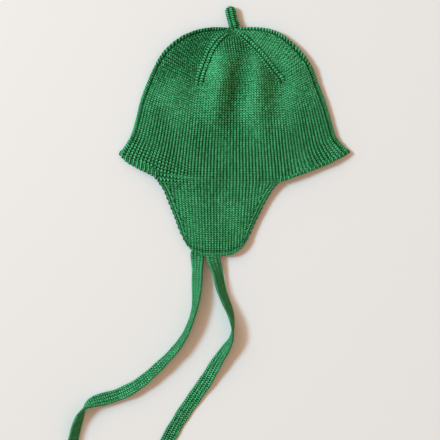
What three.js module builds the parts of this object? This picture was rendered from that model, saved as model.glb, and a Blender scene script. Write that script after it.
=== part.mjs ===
// A knitted baby bonnet that lies flat on a table, folded across so that its two ear flaps lie one over the other.
// Millimetres. +X right, +Y from the flaps towards the stem, +Z up from the table.
// The origin is on the table, under the middle of the bonnet without its ties.
import * as THREE from 'three';
import { mergeVertices } from 'three/addons/utils/BufferGeometryUtils.js';

// ---------------------------------------------------------------- driving dimensions

const WALL = 2.2; // knitted fabric
const GAP = 0.3; // between neighbouring pieces
const FOLD_HEIGHT = 5.2; // over the two layers at a side fold
const FOLD_RADIUS = 2.6;
const SLIT_RADIUS = 0.8; // inside of a side fold
const PUFF_REACH = 16; // how far from a fold the upper layer takes to rise
const FOLD_ZONE = 0.4; // most of a narrow panel that its fold may take up
const FOLD_SHARE = 0.27; // where the extra column on a fold's round lies, as a share of its radius

const CROWN_START = 3.6; // course where the crown leaves the brim
const CROWN_TOP = 10.6; // last course below the stem
const HOLLOW_TOP = 9.1; // last course of the hollow
const HOLLOW_DROP = 5.72; // from the crown's top to the hollow's
const HEM_COURSE = 0.24; // depth of the cast-off hem
const COURSE_GAP = 0.016; // GAP in courses
const RIDGE_START = 5; // course where the decrease ridges start
const RIDGE_END = 10.2;
const RIDGE_SHOULDER = 3.4; // half the width of a ridge
const SHOULDER_SHARE = 0.3; // of a narrow panel
const RIDGE_RISE = 1.25; // of its two cords
const RIDGE_GROOVE = 0.85; // between them

const FLAP_LEFT = 0.555; // columns where the flap meets the hem
const FLAP_RIGHT = 1.865;
const FLAP_DROOP = 3.2; // of the near flap's side edges
const FLAP_DROOP_REACH = 9;
const FLAP_SAG_POWER = 3.2; // higher for a straighter lower edge
const FAR_FLAP_INSET = 1.5;

const TIE_WIDTH = 13.4;
const TIE_THICKNESS = 2.4;
const TIE_STEPS = 44;
const STEM_FLATTENING = 0.74;

const GREEN = 0x1f7a46;
const PALE_GREEN = 0x268350;

// ---------------------------------------------------------------- tables

// One row for each course named, from the hem up to the top. A course runs from the left fold to the left
// decrease line, across to the right one and out to the right fold.
const COURSES = table(
  ['puff', 'underlift', 'foldLeftX', 'foldLeftY', 'lineLeftX', 'lineLeftY',
    'lineRightX', 'lineRightY', 'foldRightX', 'foldRightY'],
  [
    [4.6, 0.0, -115.5, -23.0, -45.5, -52.0, 56.5, -50.0, 115.5, -21.0],
    [4.8, 0.0, -104.5, -6.0, -44.0, -32.0, 54.5, -32.0, 102.5, -7.0],
    [5.4, 0.0, -99.0, 11.0, -42.5, -15.0, 52.5, -15.0, 96.5, 11.0],
    [6.2, 0.0, -95.0, 28.0, -40.5, 3.0, 50.5, 4.0, 91.5, 28.0],
    [7.0, 0.3, -88.5, 46.0, -38.5, 25.0, 48.5, 26.0, 84.5, 46.0],
    [7.6, 1.8, -80.0, 65.0, -36.0, 45.0, 46.5, 48.0, 77.0, 65.0],
    [7.6, 1.8, -70.5, 80.0, -33.5, 56.0, 40.0, 57.0, 66.5, 80.0],
    [7.0, 1.8, -55.5, 93.0, -29.5, 67.0, 32.5, 67.0, 52.5, 93.0],
    [6.0, 1.8, -40.5, 100.0, -25.0, 78.0, 24.0, 77.0, 40.5, 100.0],
    [4.6, 1.8, -26.5, 103.0, -18.5, 88.0, 14.5, 86.5, 27.5, 103.0],
    [3.0, 1.8, -13.5, 103.4, -10.5, 95.5, 6.0, 94.5, 12.5, 103.4],
    [1.0, 1.8, -2.0, 102.0, -2.0, 101.5, -2.0, 101.5, -2.0, 102.0],
  ],
);

// The slanted hem and, between its two bends, the line where the flaps hang.
const HEM = table(
  ['x', 'y'],
  [
    [-115.5, -23.0], [-110.5, -29.0], [-104.5, -33.5], [-93.5, -39.0], [-82.5, -44.5], [-75.0, -50.5],
    [-58.0, -52.0], [0.0, -52.6], [41.0, -52.6], [52.5, -49.0], [66.5, -44.0], [79.5, -39.0],
    [92.5, -34.0], [102.5, -29.0], [111.0, -24.3], [115.5, -21.0],
  ],
);

// Soft rises and dents of the upper layer, each a smooth hump along a leaning line.
const DENTS = table(
  ['x', 'y', 'halfWidth', 'halfLength', 'lean', 'rise'],
  [
    [-15, 47, 8, 34, 0.06, 3.4], // left crest beside the middle dent
    [8, 42, 8, 30, -0.2, -3.6], // middle dent
    [26, 42, 9, 30, -0.1, 2.6], // right crest
    [44, 52, 7, 18, 0, -1.2], // hollow beside the right crest
    [-50, 75, 11, 30, 0.95, -2.2], // shallow valley along the upper left fold
    [-86, -12, 9, 16, 0.3, -0.9], // near the left end of the brim
    [74, -20, 10, 22, -0.4, -1.0], // near the right end of the brim
  ],
);

// One row for each section of an ear flap, from its root to its rounded end.
const FLAP = table(
  ['leftX', 'leftY', 'rightX', 'rightY', 'sag', 'droop', 'middle'],
  [
    [-76.0, -51.0, 43.2, -52.2, 0.6, 0.0, 9.5],
    [-70.5, -59.0, 37.5, -59.0, 1.5, 0.45, 9.5],
    [-66.5, -69.0, 31.5, -69.0, 3.0, 0.85, 9.4],
    [-62.5, -79.0, 26.5, -79.0, 4.5, 1.0, 9.3],
    [-58.5, -89.0, 21.5, -89.0, 6.5, 1.0, 9.1],
    [-55.0, -99.0, 17.0, -99.0, 9.5, 0.95, 8.9],
    [-49.5, -110.5, 12.0, -110.0, 13.75, 0.7, 8.7],
  ],
);

// Routes of the ties' middle lines on the table. lift is the height added to lying on it, roll the turn of the
// tape about its length in degrees, with 90 on its edge.
const NEAR_TIE = table(
  ['x', 'y', 'lift', 'roll'],
  [
    [-21.4, -126.5, 4.4, -8], [-20.1, -131.0, 3.9, -20], [-17.5, -139.0, 2.6, -32],
    [-15.3, -149.0, 1.6, -43], [-13.0, -159.0, 0.8, -48], [-9.3, -169.0, 0.3, -57],
    [-5.2, -179.0, 0.0, -64], [-2.6, -189.0, 0.0, -76], [-1.8, -198.0, 0.0, -88],
    [-3.4, -207.5, 0.0, -102], [-8.6, -217.0, 0.0, -124], [-15.7, -227.5, 0.0, -138],
    [-22.2, -238.5, 0.0, -152], [-28.3, -249.0, 0.0, -164], [-35.2, -259.0, 0.0, -172],
    [-42.0, -269.0, 0.0, -178], [-49.0, -279.0, 0.0, -180], [-55.5, -289.0, 0.0, -180],
    [-61.5, -299.0, 0.0, -180], [-67.0, -309.0, 0.0, -180], [-70.6, -316.0, 0.0, -180],
  ],
);
const FAR_TIE = table(
  ['x', 'y', 'lift', 'roll'],
  [
    [-37.2, -123.2, 0.0, 3], [-37.1, -128.0, 0.0, 22], [-37.0, -135.0, 0.0, 33],
    [-37.2, -145.0, 0.0, 39], [-37.6, -156.0, 0.0, 44], [-38.2, -167.0, 0.0, 57],
    [-39.9, -178.0, 0.0, 69], [-43.2, -189.0, 0.0, 73], [-48.0, -201.0, 0.0, 69],
    [-54.0, -211.0, 0.0, 65], [-61.0, -220.0, 0.0, 60], [-70.0, -229.5, 0.0, 56],
    [-80.5, -239.5, 0.0, 49], [-92.0, -249.5, 0.0, 41], [-104.5, -257.8, 0.0, 34],
    [-118.0, -263.8, 0.0, 29], [-130.5, -267.4, 0.0, 31], [-141.5, -270.5, 0.0, 48],
    [-149.0, -275.5, 0.0, 84], [-153.2, -283.0, 0.0, 112], [-156.6, -292.0, 0.0, 126],
    [-159.0, -301.0, 0.0, 131], [-161.0, -310.0, 0.0, 133], [-162.0, -316.0, 0.0, 134],
  ],
);

// The stem's outline, from its base to its rounded tip.
const STEM = table(
  ['along', 'radius'],
  [
    [0.0, 0.0], [0.0, 5.9], [2.5, 5.3], [7.0, 5.0], [12.0, 5.2], [16.0, 5.3],
    [18.4, 4.5], [20.0, 2.6], [20.6, 0.0],
  ],
);
const STEM_ROUTE = table(
  ['x', 'y', 'lift', 'roll'],
  [[-0.4, 104.3, 0.6, 0], [-2.0, 110.0, 0.5, 0], [-3.6, 117.0, 0.3, 0], [-4.8, 124.0, 0.1, 0]],
);
const STEM_HALF_WIDTH = 5.3;

// ---------------------------------------------------------------- reading the tables

function table(columns, rows) {
  return rows.map((row) => Object.fromEntries(columns.map((name, i) => [name, row[i]])));
}

const lerp = THREE.MathUtils.lerp;

// The value of each column at a place between rows, by a smooth curve through the rows.
function between(rows, place) {
  const last = rows.length - 1;
  const i = Math.min(Math.floor(Math.max(place, 0)), last - 1);
  const t = Math.min(Math.max(place - i, 0), 1);
  const at = (k, name) => rows[Math.min(Math.max(k, 0), last)][name];
  const blend = (name) => {
    const [a, b, c, d] = [at(i - 1, name), at(i, name), at(i + 1, name), at(i + 2, name)];
    const slopeB = (c - a) / 2;
    const slopeC = (d - b) / 2;
    const rest = 1 - t;
    return b * rest * rest * (1 + 2 * t) + slopeB * t * rest * rest
      + c * t * t * (3 - 2 * t) - slopeC * t * t * rest;
  };
  return Object.fromEntries(Object.keys(rows[0]).map((name) => [name, blend(name)]));
}

function hemHeight(x) {
  const i = Math.max(HEM.findIndex((point) => point.x >= x), 1);
  const [a, b] = [HEM[i - 1], HEM[i]];
  return lerp(a.y, b.y, Math.min(Math.max((x - a.x) / (b.x - a.x), 0), 1));
}

// ---------------------------------------------------------------- the flattened bonnet's surfaces

// One course: its four corners and the widths of its three panels.
function course(c) {
  const values = between(COURSES, c);
  const corners = [
    [values.foldLeftX, values.foldLeftY], [values.lineLeftX, values.lineLeftY],
    [values.lineRightX, values.lineRightY], [values.foldRightX, values.foldRightY],
  ];
  const widths = [0, 1, 2].map((k) => Math.hypot(
    corners[k + 1][0] - corners[k][0],
    corners[k + 1][1] - corners[k][1],
  ));
  return { c, corners, widths, puff: values.puff, underlift: Math.max(values.underlift, 0) };
}

function onCourse(row, column) {
  const panel = Math.min(Math.floor(column), 2);
  const f = column - panel;
  return [0, 1].map((axis) => lerp(row.corners[panel][axis], row.corners[panel + 1][axis], f));
}

const HEM_COURSE_ROW = course(0);

// Where a column crosses a course on the table, bent to the hem's line near the hem.
function place(row, column) {
  const [x, y] = onCourse(row, column);
  const fade = Math.max(1 - row.c, 0) ** 2;
  const [hemX, straightY] = onCourse(HEM_COURSE_ROW, column);
  return [x, y + (hemHeight(hemX) - straightY) * fade];
}

// Distance from the nearer side fold, along the course.
function fromFold(row, column) {
  const panel = Math.min(Math.floor(column), 2);
  const f = column - panel;
  const [left, front, right] = row.widths;
  const walked = [0, left, left + front][panel] + f * row.widths[panel];
  return Math.min(walked, left + front + right - walked);
}

function dents(x, y) {
  return DENTS.reduce((sum, dent) => {
    const across = (x - dent.x - dent.lean * (y - dent.y)) / dent.halfWidth;
    const along = (y - dent.y) / dent.halfLength;
    return sum + dent.rise * Math.exp(-(across * across + along * along) / 2);
  }, 0);
}

function topHeight(row, distance, x, y) {
  const risen = 1 - Math.exp(-distance / PUFF_REACH);
  return row.underlift + FOLD_HEIGHT + risen * (row.puff + dents(x, y));
}

const rounded = (distance, radius) => Math.sqrt(1 - (1 - Math.min(Math.max(distance, 0), radius) / radius) ** 2);

// A point of the fabric: side 'near' is the upper layer, 'far' the one on the table. inner is the hollow's wall.
function fabric(row, column, side, inner) {
  const [x, y] = place(row, column);
  const distance = fromFold(row, column);
  const middle = row.underlift + FOLD_HEIGHT / 2;
  const turn = inner ? rounded(distance - WALL, SLIT_RADIUS) : rounded(distance, FOLD_RADIUS);
  const skin = inner ? WALL : 0;
  const face = side === 'near' ? topHeight(row, distance, x, y) - skin : row.underlift + skin;
  return new THREE.Vector3(x, y, lerp(middle, face, turn));
}

// Columns of one course across one layer, closer together at the folds and at the decrease lines.
function columnsOf(row, inner, { left, front, right }) {
  const start = inner ? WALL : 0;
  const reach = inner ? SLIT_RADIUS : FOLD_RADIUS;
  const side = (width, count) => {
    const shoulder = Math.min(RIDGE_SHOULDER, width * SHOULDER_SHARE);
    const tight = Math.min(1, (width * FOLD_ZONE) / (start + reach));
    const distances = [start, start + reach * FOLD_SHARE, start + reach].map((d) => d * tight);
    for (let k = 1; k <= count; k += 1) {
      distances.push(lerp((start + reach) * tight, width - shoulder, k / count));
    }
    return distances.map((d) => d / width);
  };
  const shoulder = Math.min(RIDGE_SHOULDER, row.widths[1] * SHOULDER_SHARE) / row.widths[1];
  const middle = [];
  for (let k = 0; k <= front; k += 1) middle.push(1 + lerp(shoulder, 1 - shoulder, k / front));
  const leftSide = side(row.widths[0], left);
  const rightSide = side(row.widths[2], right).map((f) => 3 - f).reverse();
  return [...leftSide, 1, ...middle, 2, ...rightSide];
}

const NEAR_COUNTS = { left: 6, front: 14, right: 5 };
const FAR_COUNTS = { left: 3, front: 6, right: 3 };

// The whole loop of one course: over the near layer to the right fold and back under it.
function loop(c, inner) {
  const row = course(c);
  const near = columnsOf(row, inner, NEAR_COUNTS).map((column) => fabric(row, column, 'near', inner));
  const far = columnsOf(row, inner, FAR_COUNTS).map((column) => fabric(row, column, 'far', inner));
  return [...near, ...far.reverse().slice(1, -1)];
}

// ---------------------------------------------------------------- closed bodies from rings of points

// Joins rings of equally many points. ends: 'strips' closes both ends, each ring's first half against its second,
// 'ring' joins the last ring to the first, and two points close the ends to those points.
function loft(rings, ends) {
  const size = rings[0].length;
  const points = rings.flat();
  const index = [];
  const ringCount = rings.length;
  const joined = ends === 'ring' ? ringCount : ringCount - 1;
  for (let r = 0; r < joined; r += 1) {
    const next = (r + 1) % ringCount;
    for (let k = 0; k < size; k += 1) {
      const [a, b] = [r * size + k, r * size + ((k + 1) % size)];
      const [c, d] = [next * size + k, next * size + ((k + 1) % size)];
      index.push(a, b, d, a, d, c);
    }
  }
  const triangle = (a, b, c, flipped) => index.push(...(flipped ? [b, a, c] : [a, b, c]));
  const strip = (ring, flipped) => {
    const start = ring * size;
    for (let k = 0; k < size / 2 - 1; k += 1) {
      const opposite = start + size - 1 - k;
      triangle(start + k, start + k + 1, opposite - 1, flipped);
      triangle(start + k, opposite - 1, opposite, flipped);
    }
  };
  const fan = (ring, centre, flipped) => {
    const top = points.push(centre) - 1;
    for (let k = 0; k < size; k += 1) triangle(ring * size + k, ring * size + ((k + 1) % size), top, flipped);
  };
  if (ends === 'strips') {
    strip(0, true);
    strip(ringCount - 1, false);
  } else if (ends !== 'ring') {
    fan(0, ends[0], true);
    fan(ringCount - 1, ends[1], false);
  }
  return outward(points, index);
}

// A geometry whose faces all point out: turned over if its signed volume is negative.
function outward(points, index) {
  let volume = 0;
  for (let i = 0; i < index.length; i += 3) {
    const [a, b, c] = [points[index[i]], points[index[i + 1]], points[index[i + 2]]];
    volume += a.dot(new THREE.Vector3().crossVectors(b, c));
  }
  const geometry = new THREE.BufferGeometry().setFromPoints(points);
  geometry.setIndex(volume < 0 ? index.reverse() : index);
  geometry.computeVertexNormals();
  return geometry;
}

const steps = (from, to, count) => Array.from({ length: count + 1 }, (_, k) => lerp(from, to, k / count));

// ---------------------------------------------------------------- crown, brim and hems

const CROWN_COURSES = [
  ...steps(CROWN_START + COURSE_GAP, RIDGE_START, 3),
  ...steps(RIDGE_START, RIDGE_END, 10).slice(1),
  CROWN_TOP,
];
const HOLLOW_COURSES = [
  ...steps(CROWN_START + COURSE_GAP, RIDGE_START, 3),
  ...steps(RIDGE_START, HOLLOW_TOP, 6).slice(1),
];

function crown() {
  const outer = CROWN_COURSES.map((c) => loop(c, false));
  const inner = HOLLOW_COURSES.map((c) => loop(c, true)).reverse();
  const top = COURSES[COURSES.length - 1];
  const middle = top.underlift + FOLD_HEIGHT / 2;
  const innerTop = new THREE.Vector3(top.foldLeftX, top.foldLeftY - HOLLOW_DROP, middle);
  const outerTop = new THREE.Vector3(top.foldLeftX, top.foldLeftY, middle);
  return loft([...inner, ...outer], [innerTop, outerTop]);
}

function brim() {
  const courses = steps(HEM_COURSE + COURSE_GAP, CROWN_START - COURSE_GAP, 6);
  const outer = courses.map((c) => loop(c, false));
  const inner = courses.map((c) => loop(c, true)).reverse();
  return loft([...outer, ...inner], 'ring');
}

// A length of hem around one side fold, from where the near flap starts to where the far flap starts.
function hem(isLeft) {
  const rings = [];
  const end = isLeft ? FLAP_LEFT : FLAP_RIGHT;
  const fold = isLeft ? 0 : 3;
  const towards = isLeft ? 1 : -1;
  const bottom = course(0);
  const top = course(HEM_COURSE - COURSE_GAP);
  const width = (isLeft ? bottom.widths[0] : bottom.widths[2]);
  const near = (FOLD_RADIUS * FOLD_SHARE) / width;
  const round = FOLD_RADIUS / width;
  const stop = end - (towards * GAP) / width;
  const outerColumns = [...steps(stop, fold + towards * round, 8), fold + towards * near, fold];
  const slit = (WALL + SLIT_RADIUS) / width;
  const innerColumns = [
    ...steps(stop, fold + towards * slit, 8),
    fold + (towards * (WALL + SLIT_RADIUS * FOLD_SHARE)) / width,
    fold + (towards * WALL) / width,
  ];
  const ring = (k, side) => [
    fabric(bottom, outerColumns[k], side, false), fabric(top, outerColumns[k], side, false),
    fabric(top, innerColumns[k], side, true), fabric(bottom, innerColumns[k], side, true),
  ];
  for (let k = 0; k < outerColumns.length; k += 1) rings.push(ring(k, 'near'));
  for (let k = outerColumns.length - 2; k >= 0; k -= 1) rings.push(ring(k, 'far'));
  return loft(rings, 'strips');
}

// ---------------------------------------------------------------- decrease ridges

// A raised double cord on a decrease line, on the outside of the near or the far layer.
function ridge(line, side) {
  const away = side === 'near' ? 1 : -1;
  const courses = CROWN_COURSES.filter((c) => c >= RIDGE_START && c <= RIDGE_END + 1e-6);
  const rings = courses.map((c, k) => {
    const row = course(c);
    const shoulders = [line - 1, line].map((panel) => (
      Math.min(RIDGE_SHOULDER, row.widths[panel] * SHOULDER_SHARE) / row.widths[panel]
    ));
    const at = (share, rise) => {
      const column = line + share * (share < 0 ? shoulders[0] : shoulders[1]);
      const edge = fabric(row, line + Math.sign(share) * (share < 0 ? shoulders[0] : shoulders[1]), side, false);
      const middle = fabric(row, line, side, false);
      const [x, y] = place(row, column);
      const base = lerp(middle.z, edge.z, Math.abs(share));
      return new THREE.Vector3(x, y, base + away * (GAP + rise));
    };
    const taper = k === 0 || k === courses.length - 1 ? 0.6 : 1;
    return [
      at(-1, 0), at(0, 0), at(1, 0),
      at(0.55, RIDGE_RISE * taper), at(0, RIDGE_GROOVE * taper), at(-0.55, RIDGE_RISE * taper),
    ];
  });
  return loft(rings, 'strips');
}

// ---------------------------------------------------------------- ear flaps

function flapRows(count) {
  return steps(0, FLAP.length - 1, count).map((place) => between(FLAP, place));
}

function flapPlace(row, f, inset) {
  const width = row.rightX - row.leftX;
  const share = lerp(inset / width, 1 - inset / width, f);
  const drop = row.sag * (1 - Math.abs(2 * share - 1) ** FLAP_SAG_POWER);
  const shorter = (inset * row.sag) / FLAP[FLAP.length - 1].sag;
  return [lerp(row.leftX, row.rightX, share), lerp(row.leftY, row.rightY, share) - drop + shorter];
}

// A flap's first ring lies along the brim, above its table's first row.
function flap(side, count, across) {
  const near = side === 'near';
  const inset = near ? 0 : FAR_FLAP_INSET;
  const brimRow = course(HEM_COURSE - COURSE_GAP);
  const shares = steps(0, 1, across);
  const ringOf = (upper, lower) => [...upper, ...lower.reverse()];
  const root = shares.map((f) => fabric(brimRow, lerp(FLAP_LEFT, FLAP_RIGHT, f), side, false));
  const rings = [ringOf(root, root.map((p) => p.clone().setZ(near ? p.z - WALL : p.z + WALL)))];
  for (const row of flapRows(count)) {
    const points = shares.map((f) => {
      const [x, y] = flapPlace(row, f, inset);
      const edge = Math.min(f, 1 - f) * (row.rightX - row.leftX);
      const droop = FLAP_DROOP * row.droop * Math.exp(-edge / FLAP_DROOP_REACH);
      return new THREE.Vector3(x, y, near ? row.middle - droop : 0);
    });
    rings.push(ringOf(points, points.map((p) => p.clone().setZ(near ? p.z - WALL : WALL))));
  }
  return loft(rings, 'strips');
}

// ---------------------------------------------------------------- tapes and cords along a route

function routeCurve(route, halfWidth, halfThickness) {
  const points = route.map(({ x, y, lift, roll }) => {
    const turn = THREE.MathUtils.degToRad(roll);
    const lying = halfWidth * Math.abs(Math.sin(turn)) + halfThickness * Math.abs(Math.cos(turn));
    return new THREE.Vector3(x, y, lying + lift + 0.1);
  });
  return new THREE.CatmullRomCurve3(points, false, 'centripetal');
}

// Moves a body built along +Z, one unit long, onto a route.
function bend(geometry, route, halfWidth, halfThickness) {
  const curve = routeCurve(route, halfWidth, halfThickness);
  const body = new THREE.BufferGeometry();
  body.setAttribute('position', geometry.getAttribute('position').clone());
  if (geometry.index) body.setIndex(geometry.index);
  const merged = mergeVertices(body, 1e-4);
  const position = merged.getAttribute('position');
  const up = new THREE.Vector3(0, 0, 1);
  for (let k = 0; k < position.count; k += 1) {
    const share = Math.min(Math.max(position.getZ(k), 0), 1);
    const t = curve.getUtoTmapping(share);
    const centre = curve.getPoint(t);
    const tangent = curve.getTangent(t);
    const roll = THREE.MathUtils.degToRad(between(route, t * (route.length - 1)).roll);
    const across = new THREE.Vector3().crossVectors(up, tangent).normalize().applyAxisAngle(tangent, roll);
    const over = new THREE.Vector3().crossVectors(tangent, across);
    centre.addScaledVector(across, position.getX(k)).addScaledVector(over, position.getY(k));
    position.setXYZ(k, centre.x, centre.y, centre.z);
  }
  merged.computeVertexNormals();
  return merged;
}

function tapeSection() {
  const [w, t] = [TIE_WIDTH / 2, TIE_THICKNESS / 2];
  const section = new THREE.Shape();
  section.moveTo(-w + t, -t);
  section.lineTo(w - t, -t);
  section.absarc(w - t, 0, t, -Math.PI / 2, Math.PI / 2, false);
  section.lineTo(-w + t, t);
  section.absarc(-w + t, 0, t, Math.PI / 2, (3 * Math.PI) / 2, false);
  return section;
}

function tie(route) {
  const options = { depth: 1, steps: TIE_STEPS, bevelEnabled: false, curveSegments: 4 };
  return bend(new THREE.ExtrudeGeometry(tapeSection(), options), route, TIE_WIDTH / 2, TIE_THICKNESS / 2);
}

function stem() {
  const length = STEM[STEM.length - 1].along;
  const profile = STEM.map(({ along, radius }) => new THREE.Vector2(radius, along / length));
  const turned = new THREE.LatheGeometry(profile, 12);
  turned.rotateX(Math.PI / 2);
  turned.scale(1, STEM_FLATTENING, 1);
  return bend(turned, STEM_ROUTE, 0, STEM_HALF_WIDTH * STEM_FLATTENING);
}

// ---------------------------------------------------------------- the bonnet

const bonnet = new THREE.Group();

function add(name, geometry, color) {
  const material = new THREE.MeshStandardMaterial({ color, roughness: 0.9, metalness: 0 });
  const mesh = new THREE.Mesh(geometry, material);
  mesh.name = name;
  bonnet.add(mesh);
}

add('crown', crown(), GREEN);
add('brim', brim(), GREEN);
add('left_hem', hem(true), PALE_GREEN);
add('right_hem', hem(false), PALE_GREEN);
for (const side of ['near', 'far']) {
  add(`${side}_left_ridge`, ridge(1, side), PALE_GREEN);
  add(`${side}_right_ridge`, ridge(2, side), PALE_GREEN);
}
add('near_ear_flap', flap('near', 9, 14), GREEN);
add('far_ear_flap', flap('far', 7, 8), GREEN);
add('stem', stem(), PALE_GREEN);
add('near_tie', tie(NEAR_TIE), GREEN);
add('far_tie', tie(FAR_TIE), GREEN);

export default bonnet;
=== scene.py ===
"""A knitted baby bonnet lying flat on a table, with two ear flaps, two long flat ties and a stalk on top.

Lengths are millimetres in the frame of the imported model, and become metres where a mesh is made.
+X is right, +Y runs from the flaps to the stem, and +Z is up from the table.
"""

import logging
import math
from dataclasses import dataclass, field
from enum import Enum

import bpy
import numpy as np
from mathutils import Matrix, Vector


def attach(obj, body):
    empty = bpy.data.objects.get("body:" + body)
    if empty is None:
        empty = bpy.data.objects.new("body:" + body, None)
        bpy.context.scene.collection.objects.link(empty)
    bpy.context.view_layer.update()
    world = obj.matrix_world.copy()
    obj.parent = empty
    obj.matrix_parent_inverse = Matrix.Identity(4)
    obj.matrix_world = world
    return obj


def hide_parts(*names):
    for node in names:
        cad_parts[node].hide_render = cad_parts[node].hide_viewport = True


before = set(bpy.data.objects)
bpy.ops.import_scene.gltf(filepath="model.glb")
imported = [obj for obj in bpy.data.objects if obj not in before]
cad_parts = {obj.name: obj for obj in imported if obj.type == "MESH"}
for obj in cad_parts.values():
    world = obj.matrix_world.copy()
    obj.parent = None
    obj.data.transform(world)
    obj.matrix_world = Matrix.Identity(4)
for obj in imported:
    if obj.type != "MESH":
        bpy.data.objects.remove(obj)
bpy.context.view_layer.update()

LOG = logging.getLogger("bonnet")
Grid = np.ndarray

MM = 0.001
SEED = 11
TABLE_CLEARANCE = 0.02
# Rib depth at which the painted shade in a trough is full.
PAINTED_SHADE_FULL_DEPTH = 1.1
STITCH_TONES = 2

# ------------------------------------------------------------------ driving dimensions

WALL = 2.2
FOLD_HEIGHT = 5.2
FOLD_RADIUS = 2.6
SLIT_RADIUS = 0.8
PUFF_REACH = 16.0
CROWN_START = 3.6
HEM_COURSE = 0.24
COURSE_GAP = 0.016
RIDGE_START = 5.0
RIDGE_END = 10.2
RIDGE_SHOULDER = 3.4
FLAP_LEFT = 0.555
FLAP_RIGHT = 1.865
FLAP_DROOP = 3.2
FLAP_DROOP_REACH = 9.0
FAR_FLAP_INSET = 1.5
TIE_WIDTH = 13.4
TIE_THICKNESS = 2.4
STEM_FLATTENING = 0.74
STEM_HALF_WIDTH = 5.3

# puff, underlift, then x and y of the left fold, left line, right line and right fold, one row a course.
COURSES = np.array([
    [4.6, 0.0, -115.5, -23.0, -45.5, -52.0, 56.5, -50.0, 115.5, -21.0],
    [4.8, 0.0, -104.5, -6.0, -44.0, -32.0, 54.5, -32.0, 102.5, -7.0],
    [5.4, 0.0, -99.0, 11.0, -42.5, -15.0, 52.5, -15.0, 96.5, 11.0],
    [6.2, 0.0, -95.0, 28.0, -40.5, 3.0, 50.5, 4.0, 91.5, 28.0],
    [7.0, 0.3, -88.5, 46.0, -38.5, 25.0, 48.5, 26.0, 84.5, 46.0],
    [7.6, 1.8, -80.0, 65.0, -36.0, 45.0, 46.5, 48.0, 77.0, 65.0],
    [7.6, 1.8, -70.5, 80.0, -33.5, 56.0, 40.0, 57.0, 66.5, 80.0],
    [7.0, 1.8, -55.5, 93.0, -29.5, 67.0, 32.5, 67.0, 52.5, 93.0],
    [6.0, 1.8, -40.5, 100.0, -25.0, 78.0, 24.0, 77.0, 40.5, 100.0],
    [4.6, 1.8, -26.5, 103.0, -18.5, 88.0, 14.5, 86.5, 27.5, 103.0],
    [3.0, 1.8, -13.5, 103.4, -10.5, 95.5, 6.0, 94.5, 12.5, 103.4],
    [1.0, 1.8, -2.0, 102.0, -2.0, 101.5, -2.0, 101.5, -2.0, 102.0],
])

# x and y of the slanted hem and of the line where the flaps hang.
HEM = np.array([
    [-115.5, -23.0], [-110.5, -29.0], [-104.5, -33.5], [-93.5, -39.0], [-82.5, -44.5], [-75.0, -50.5],
    [-58.0, -52.0], [0.0, -52.6], [41.0, -52.6], [52.5, -49.0], [66.5, -44.0], [79.5, -39.0],
    [92.5, -34.0], [102.5, -29.0], [111.0, -24.3], [115.5, -21.0],
])

# x, y, half width, half length, lean and rise of each soft hump or dent.
DENTS = np.array([
    [-15, 47, 8, 34, 0.15, 3.6],
    [5, 42, 8, 30, 0.2, -4.2],
    [24, 44, 8, 30, 0.0, 3.2],
    [44, 52, 7, 18, 0, -1.2],
    [-50, 75, 11, 30, 0.95, -2.2],
    [-86, -12, 9, 16, 0.3, -0.9],
    [74, -20, 10, 22, -0.4, -1.0],
])

# How much stronger the humps and dents are than their table says.
DENT_GAIN = 1.7

# How far the upper layer is drawn down along the decrease lines, how wide, and on which courses.
LINE_PULL = 4.6
LINE_PULL_REACH = 17.0
PULL_BEGINS = (2.6, 5.0)
PULL_ENDS = (7.6, 9.6)

# Knitted courses up to the hem, up to the start of the ridges and up to the top of the table of courses.
COUNTED_AT = [0, RIDGE_START, 11]
KNITTED_COURSES = [0, 46, 74]

# left x and y, right x and y, sag, droop and middle height of each section of an ear flap.
FLAP = np.array([
    [-76.0, -51.0, 43.2, -52.2, 0.6, 0.0, 9.5],
    [-70.5, -59.0, 37.5, -59.0, 1.5, 0.45, 9.5],
    [-66.5, -69.0, 31.5, -69.0, 3.0, 0.85, 9.4],
    [-62.5, -79.0, 26.5, -79.0, 4.5, 1.0, 9.3],
    [-58.5, -89.0, 21.5, -89.0, 6.5, 1.0, 9.1],
    [-55.0, -99.0, 17.0, -99.0, 9.5, 0.95, 8.9],
    [-49.5, -110.5, 12.0, -110.0, 13.75, 0.7, 8.7],
])

# x, y, lift and roll in degrees along each tie.
NEAR_TIE = np.array([
    [-21.4, -126.5, 4.4, -8], [-20.1, -131.0, 3.9, -20], [-17.5, -139.0, 2.6, -32],
    [-15.3, -149.0, 1.6, -43], [-13.0, -159.0, 0.8, -48], [-9.3, -169.0, 0.3, -57],
    [-5.2, -179.0, 0.0, -64], [-2.6, -189.0, 0.0, -76], [-1.8, -198.0, 0.0, -88],
    [-3.4, -207.5, 0.0, -102], [-8.6, -217.0, 0.0, -124], [-15.7, -227.5, 0.0, -138],
    [-22.2, -238.5, 0.0, -152], [-28.3, -249.0, 0.0, -164], [-35.2, -259.0, 0.0, -172],
    [-42.0, -269.0, 0.0, -178], [-49.0, -279.0, 0.0, -180], [-55.5, -289.0, 0.0, -180],
    [-61.5, -299.0, 0.0, -180], [-67.0, -309.0, 0.0, -180], [-70.6, -316.0, 0.0, -180],
])
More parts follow.
